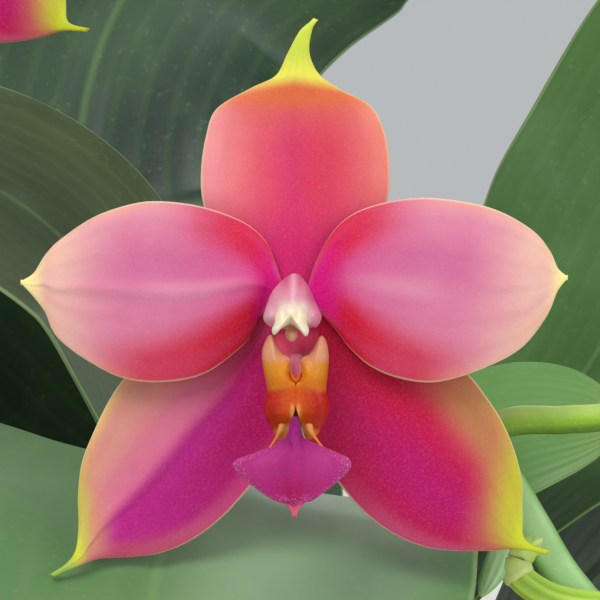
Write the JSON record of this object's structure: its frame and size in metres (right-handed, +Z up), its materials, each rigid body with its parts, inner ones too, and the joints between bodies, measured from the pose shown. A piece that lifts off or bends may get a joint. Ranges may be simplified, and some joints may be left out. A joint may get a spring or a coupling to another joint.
{
  "type": "potted princess kaiulani moth orchid",
  "caption": "Potted moth orchid with waxy star-shaped blooms and buds on arching spikes, broad fleshy leaves, aerial roots and bark mix in a tapered clay pot.",
  "frame": {"origin": "middle of the pot's flat base, on the surface it stands on", "axes": "+Z up, -Y the way the blooms face, +X to the right seen from the front"},
  "size_m": [0.2909, 0.1855, 0.2886],
  "materials": {
    "terracotta": "matte unglazed clay",
    "bark": "rough bark chips",
    "root_skin": "silvery green aerial root skin",
    "leaf": "waxy leaf with a soft gloss",
    "flower_stalk": "waxy green stalk",
    "bud": "waxy bud",
    "sepal": "waxy, finely granular petal skin",
    "petal": "waxy, finely granular petal skin",
    "column": "waxy",
    "anther_cap": "satin",
    "lip_lobe": "waxy, shiny",
    "lip_midlobe": "velvety with fine bumps"
  },
  "bodies": {
    "root": {"pot": "terracotta", "bark_mix": "bark", "stem_and_roots": "root_skin", "leaf_right_young": "leaf", "leaf_right_upper": "leaf", "leaf_back": "leaf", "leaf_left_upper": "leaf", "leaf_right_middle": "leaf", "leaf_left_lower": "leaf", "leaf_front": "leaf", "spike_right": "flower_stalk", "spike_left": "flower_stalk", "bud_right_upper": "bud", "bud_right_lower": "bud", "bud_left": "bud", "dorsal_sepal": "sepal", "lateral_sepal_left": "sepal", "lateral_sepal_right": "sepal", "petal_left": "petal", "petal_right": "petal", "column": "column", "anther_cap": "anther_cap", "lip_side_lobe_left": "lip_lobe", "lip_side_lobe_right": "lip_lobe", "lip_callus": "lip_lobe", "lip_midlobe": "lip_midlobe", "second_bloom": "sepal"}
  },
  "joints": []
}
